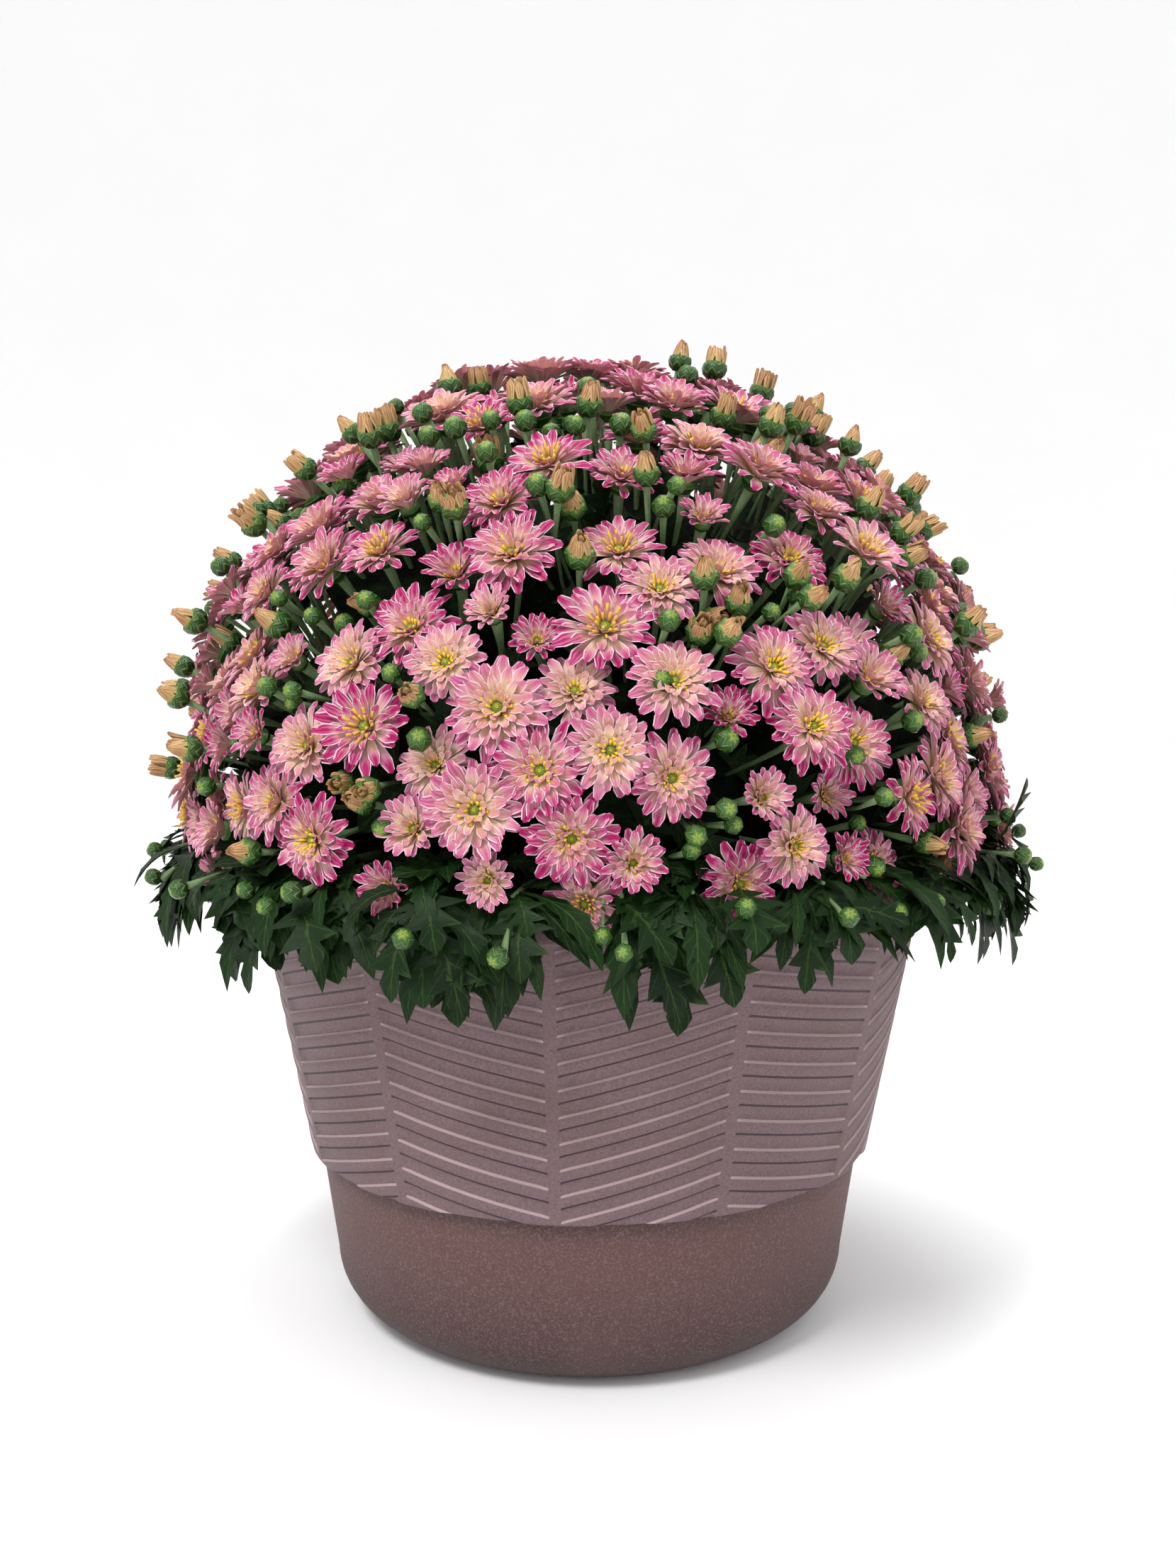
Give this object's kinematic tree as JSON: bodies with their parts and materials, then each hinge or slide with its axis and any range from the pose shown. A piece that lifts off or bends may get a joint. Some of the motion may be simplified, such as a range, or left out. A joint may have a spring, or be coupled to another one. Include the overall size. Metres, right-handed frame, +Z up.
{
  "type": "pot chrysanthemum",
  "caption": "Garden chrysanthemum with a dense dome of pink blooms, buds and lobed leaves, growing in a round tapered planter with a flared lip and a herringbone relief band.",
  "frame": {"origin": "on the resting surface under the middle of the whole plant, within a few millimetres of the planter's axis", "axes": "+Z up along the planter's axis, -Y towards the side that the picture shows"},
  "size_m": [0.4186, 0.4184, 0.4453],
  "materials": {
    "planter": "matte, fine sandy grain, mauve-brown",
    "potting_mix": "rough, dark brown",
    "foliage": "soft, deep green",
    "petals": "soft, pink with pale edges and a yellow centre"
  },
  "bodies": {
    "root": {"pot": "planter", "potting_mix": "potting_mix", "leafy_stem_01": "foliage", "leafy_stem_02": "foliage", "leafy_stem_03": "foliage", "leafy_stem_04": "foliage", "leafy_stem_05": "foliage", "leafy_stem_06": "foliage", "leafy_stem_07": "foliage", "leafy_stem_08": "foliage", "leafy_stem_09": "foliage", "leafy_stem_10": "foliage", "leafy_stem_11": "foliage", "leafy_stem_12": "foliage", "leafy_stem_13": "foliage", "leafy_stem_14": "foliage", "leafy_stem_15": "foliage", "leafy_stem_16": "foliage", "bloom_spray_01": "petals", "bloom_spray_02": "petals", "bloom_spray_03": "petals", "bloom_spray_04": "petals", "bloom_spray_05": "petals", "bloom_spray_06": "petals", "bloom_spray_07": "petals", "bloom_spray_08": "petals", "bloom_spray_09": "petals", "bloom_spray_10": "petals", "bloom_spray_11": "petals", "bloom_spray_12": "petals", "bloom_spray_13": "petals", "bloom_spray_14": "petals", "bloom_spray_15": "petals", "bloom_spray_16": "petals", "bloom_spray_17": "petals", "bloom_spray_18": "petals", "bloom_spray_19": "petals", "bloom_spray_20": "petals", "bloom_spray_21": "petals", "bloom_spray_22": "petals", "bloom_spray_23": "petals", "bloom_spray_24": "petals", "bloom_spray_25": "petals", "bloom_spray_26": "petals", "bloom_spray_27": "petals", "bloom_spray_28": "petals", "bloom_spray_29": "petals", "bloom_spray_30": "petals", "bloom_spray_31": "petals", "bloom_spray_32": "petals", "bloom_spray_33": "petals", "bloom_spray_34": "petals", "bloom_spray_35": "petals", "bloom_spray_36": "petals", "bloom_spray_37": "petals", "bloom_spray_38": "petals", "bloom_spray_39": "petals", "bloom_spray_40": "petals"}
  },
  "joints": []
}
